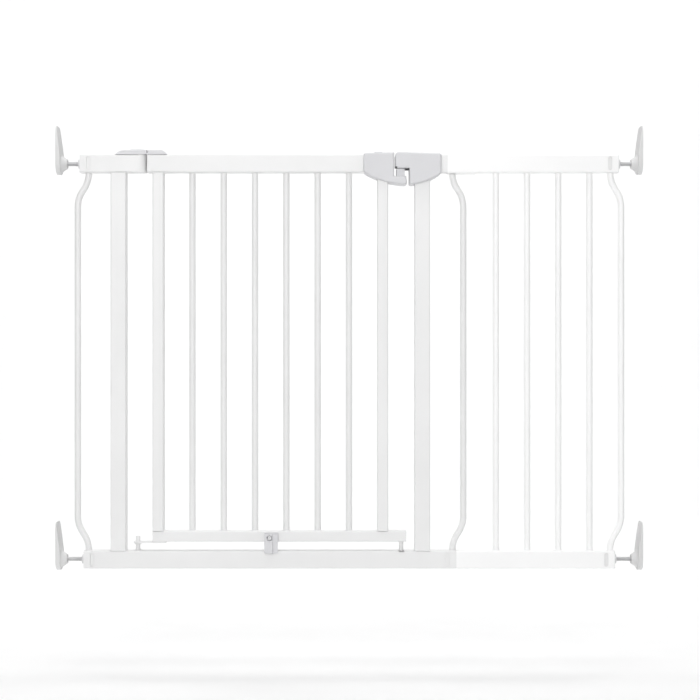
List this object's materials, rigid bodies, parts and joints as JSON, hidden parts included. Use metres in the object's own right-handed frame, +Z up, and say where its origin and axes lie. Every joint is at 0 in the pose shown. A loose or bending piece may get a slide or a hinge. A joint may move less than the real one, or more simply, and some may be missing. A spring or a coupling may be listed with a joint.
{
  "type": "safety baby gate",
  "caption": "Pressure-fit safety gate: a tubular U-frame with a swinging barred door, a sliding latch, a barred side extension and threaded spindles with wall cups.",
  "frame": {"origin": "midway between the wall faces, on the tubes' middle plane, level with the lowest edge of the lower wall cups", "axes": "+X along the gate from the hinge side to the extension side, +Y away from the side the door opens to, +Z up"},
  "size_m": [1.062, 0.0408, 0.806],
  "materials": {
    "white_paint": "smooth white powder coat, low gloss",
    "extension_paint": "smooth bright white powder coat, low gloss",
    "housing_plastic": "satin moulded plastic",
    "white_plastic": "satin white moulded plastic",
    "grey_plastic": "fine matt moulded plastic",
    "nut_plastic": "satin moulded plastic",
    "soft_cup": "soft matt moulded plastic",
    "zinc_steel": "zinc-plated steel"
  },
  "bodies": {
    "frame": {"bottom_rail": "white_paint", "left_top_rail": "white_paint", "right_top_rail": "white_paint", "hinge_post": "white_paint", "lock_post": "white_paint", "left_bent_bar": "white_paint", "centre_bent_bar": "white_paint", "hinge_nose": "white_plastic", "lower_pin_bush": "white_plastic", "lower_strike": "white_plastic", "lock_housing_front": "housing_plastic", "lock_housing_rear": "housing_plastic", "lock_housing_screws": "zinc_steel", "extension_top_rail": "extension_paint", "extension_bottom_rail": "extension_paint", "extension_bars": "extension_paint", "extension_bent_bar": "extension_paint", "coupling_sleeve": "extension_paint", "sleeve_screws": "zinc_steel", "rail_joiner": "white_plastic", "lower_left_end_plug": "white_plastic", "lower_right_end_plug": "white_plastic", "upper_left_end_plug": "white_plastic", "upper_right_end_plug": "white_plastic"},
    "hinge_pins": {"upper_hinge_pin": "zinc_steel", "lower_hinge_pin": "white_paint"},
    "door": {"door_top_rail": "white_paint", "door_bottom_rail": "white_paint", "hinge_stile": "white_paint", "latch_stile": "white_paint", "door_bars": "white_paint", "foot_caps": "white_plastic", "lock_pin": "white_paint", "hinge_strap": "zinc_steel", "strap_rivets": "zinc_steel", "lower_hinge_arm": "white_paint", "left_hinge_cover": "housing_plastic", "right_hinge_cover": "housing_plastic", "stop_bracket": "housing_plastic", "stop_screw": "zinc_steel", "latch_housing_front": "housing_plastic", "latch_housing_rear": "housing_plastic", "latch_housing_screws": "zinc_steel", "catch_spring": "zinc_steel"},
    "catch": {"latch_catch": "grey_plastic", "thumb_pad": "grey_plastic"},
    "lower_left_nut": {"lower_left_nut": "nut_plastic"},
    "lower_left_spindle": {"lower_left_spindle": "zinc_steel"},
    "lower_left_cup": {"lower_left_wall_cup": "soft_cup"},
    "lower_right_nut": {"lower_right_nut": "nut_plastic"},
    "lower_right_spindle": {"lower_right_spindle": "zinc_steel"},
    "lower_right_cup": {"lower_right_wall_cup": "soft_cup"},
    "upper_left_nut": {"upper_left_nut": "nut_plastic"},
    "upper_left_spindle": {"upper_left_spindle": "zinc_steel"},
    "upper_left_cup": {"upper_left_wall_cup": "soft_cup"},
    "upper_right_nut": {"upper_right_nut": "nut_plastic"},
    "upper_right_spindle": {"upper_right_spindle": "zinc_steel"},
    "upper_right_cup": {"upper_right_wall_cup": "soft_cup"}
  },
  "joints": [
    {"name": "door_swing", "type": "hinge", "parent": "frame", "child": "hinge_pins", "pos_m": [-0.384, 0, 0.7375], "axis": [0, 0, -1], "range_deg": [0, 90]},
    {"name": "door_lift", "type": "slide", "parent": "hinge_pins", "child": "door", "axis": [0, 0, 1], "range_m": [0, 0.004]},
    {"name": "catch_slide", "type": "slide", "parent": "door", "child": "catch", "axis": [-1, 0, 0], "range_m": [0, 0.014], "stiffness_N_per_m": 300, "springref_m": -0.005, "deforming": ["catch_spring"]},
    {"name": "lower_left_nut_turn", "type": "hinge", "parent": "frame", "child": "lower_left_nut", "pos_m": [-0.4815, 0, 0.0195], "axis": [1, 0, 0], "range_deg": [-4330, 2890]},
    {"name": "lower_left_spindle_slide", "type": "slide", "parent": "frame", "child": "lower_left_spindle", "axis": [-1, 0, 0], "range_m": [-0.01, 0.015]},
    {"name": "lower_left_cup_turn", "type": "hinge", "parent": "lower_left_spindle", "child": "lower_left_cup", "pos_m": [-0.519, 0, 0.0195], "axis": [1, 0, 0], "continuous": true},
    {"name": "lower_right_nut_turn", "type": "hinge", "parent": "frame", "child": "lower_right_nut", "pos_m": [0.4815, 0, 0.0195], "axis": [1, 0, 0], "range_deg": [-2890, 4330]},
    {"name": "lower_right_spindle_slide", "type": "slide", "parent": "frame", "child": "lower_right_spindle", "axis": [1, 0, 0], "range_m": [-0.01, 0.015]},
    {"name": "lower_right_cup_turn", "type": "hinge", "parent": "lower_right_spindle", "child": "lower_right_cup", "pos_m": [0.519, 0, 0.0195], "axis": [1, 0, 0], "continuous": true},
    {"name": "upper_left_nut_turn", "type": "hinge", "parent": "frame", "child": "upper_left_nut", "pos_m": [-0.4885, 0, 0.7375], "axis": [1, 0, 0], "range_deg": [-4330, 2890]},
    {"name": "upper_left_spindle_slide", "type": "slide", "parent": "frame", "child": "upper_left_spindle", "axis": [-1, 0, 0], "range_m": [-0.01, 0.015]},
    {"name": "upper_left_cup_turn", "type": "hinge", "parent": "upper_left_spindle", "child": "upper_left_cup", "pos_m": [-0.519, 0, 0.7375], "axis": [1, 0, 0], "continuous": true},
    {"name": "upper_right_nut_turn", "type": "hinge", "parent": "frame", "child": "upper_right_nut", "pos_m": [0.4885, 0, 0.7375], "axis": [1, 0, 0], "range_deg": [-2890, 4330]},
    {"name": "upper_right_spindle_slide", "type": "slide", "parent": "frame", "child": "upper_right_spindle", "axis": [1, 0, 0], "range_m": [-0.01, 0.015]},
    {"name": "upper_right_cup_turn", "type": "hinge", "parent": "upper_right_spindle", "child": "upper_right_cup", "pos_m": [0.519, 0, 0.7375], "axis": [1, 0, 0], "continuous": true}
  ],
  "couplings": [
    {"joint": "lower_left_nut_turn", "follows": "lower_left_spindle_slide", "rad_per_m": -5026.5},
    {"joint": "lower_right_nut_turn", "follows": "lower_right_spindle_slide", "rad_per_m": 5026.5},
    {"joint": "upper_left_nut_turn", "follows": "upper_left_spindle_slide", "rad_per_m": -5026.5},
    {"joint": "upper_right_nut_turn", "follows": "upper_right_spindle_slide", "rad_per_m": 5026.5}
  ]
}
